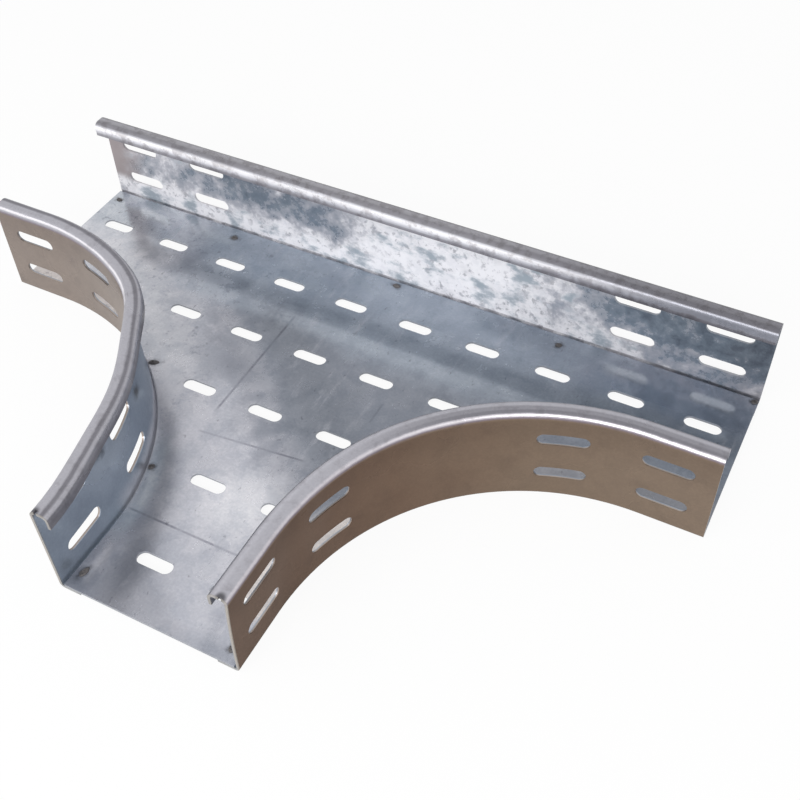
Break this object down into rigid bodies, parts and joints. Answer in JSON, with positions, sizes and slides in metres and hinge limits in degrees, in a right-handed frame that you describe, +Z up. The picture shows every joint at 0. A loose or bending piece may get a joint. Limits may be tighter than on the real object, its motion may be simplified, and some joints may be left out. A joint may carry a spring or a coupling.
{
  "type": "cable tray tee",
  "caption": "Perforated sheet-steel cable tray tee: T-shaped slotted floor with a straight back rail and two curved front rails, for turning cables off a run into a side branch.",
  "frame": {"origin": "centre of the part's box, on the level of the rails' feet", "axes": "+X along the straight run to the right, +Y to the closed back rail so that the branch leaves towards -Y, +Z up out of the floor"},
  "size_m": [0.431, 0.267, 0.06],
  "materials": {
    "floor_sheet": "galvanised, spangled, lightly marked",
    "rail_sheet": "galvanised, spangled"
  },
  "bodies": {
    "root": {"base_plate": "floor_sheet", "back_rail": "rail_sheet", "left_curved_rail": "rail_sheet", "right_curved_rail": "rail_sheet"}
  },
  "joints": []
}
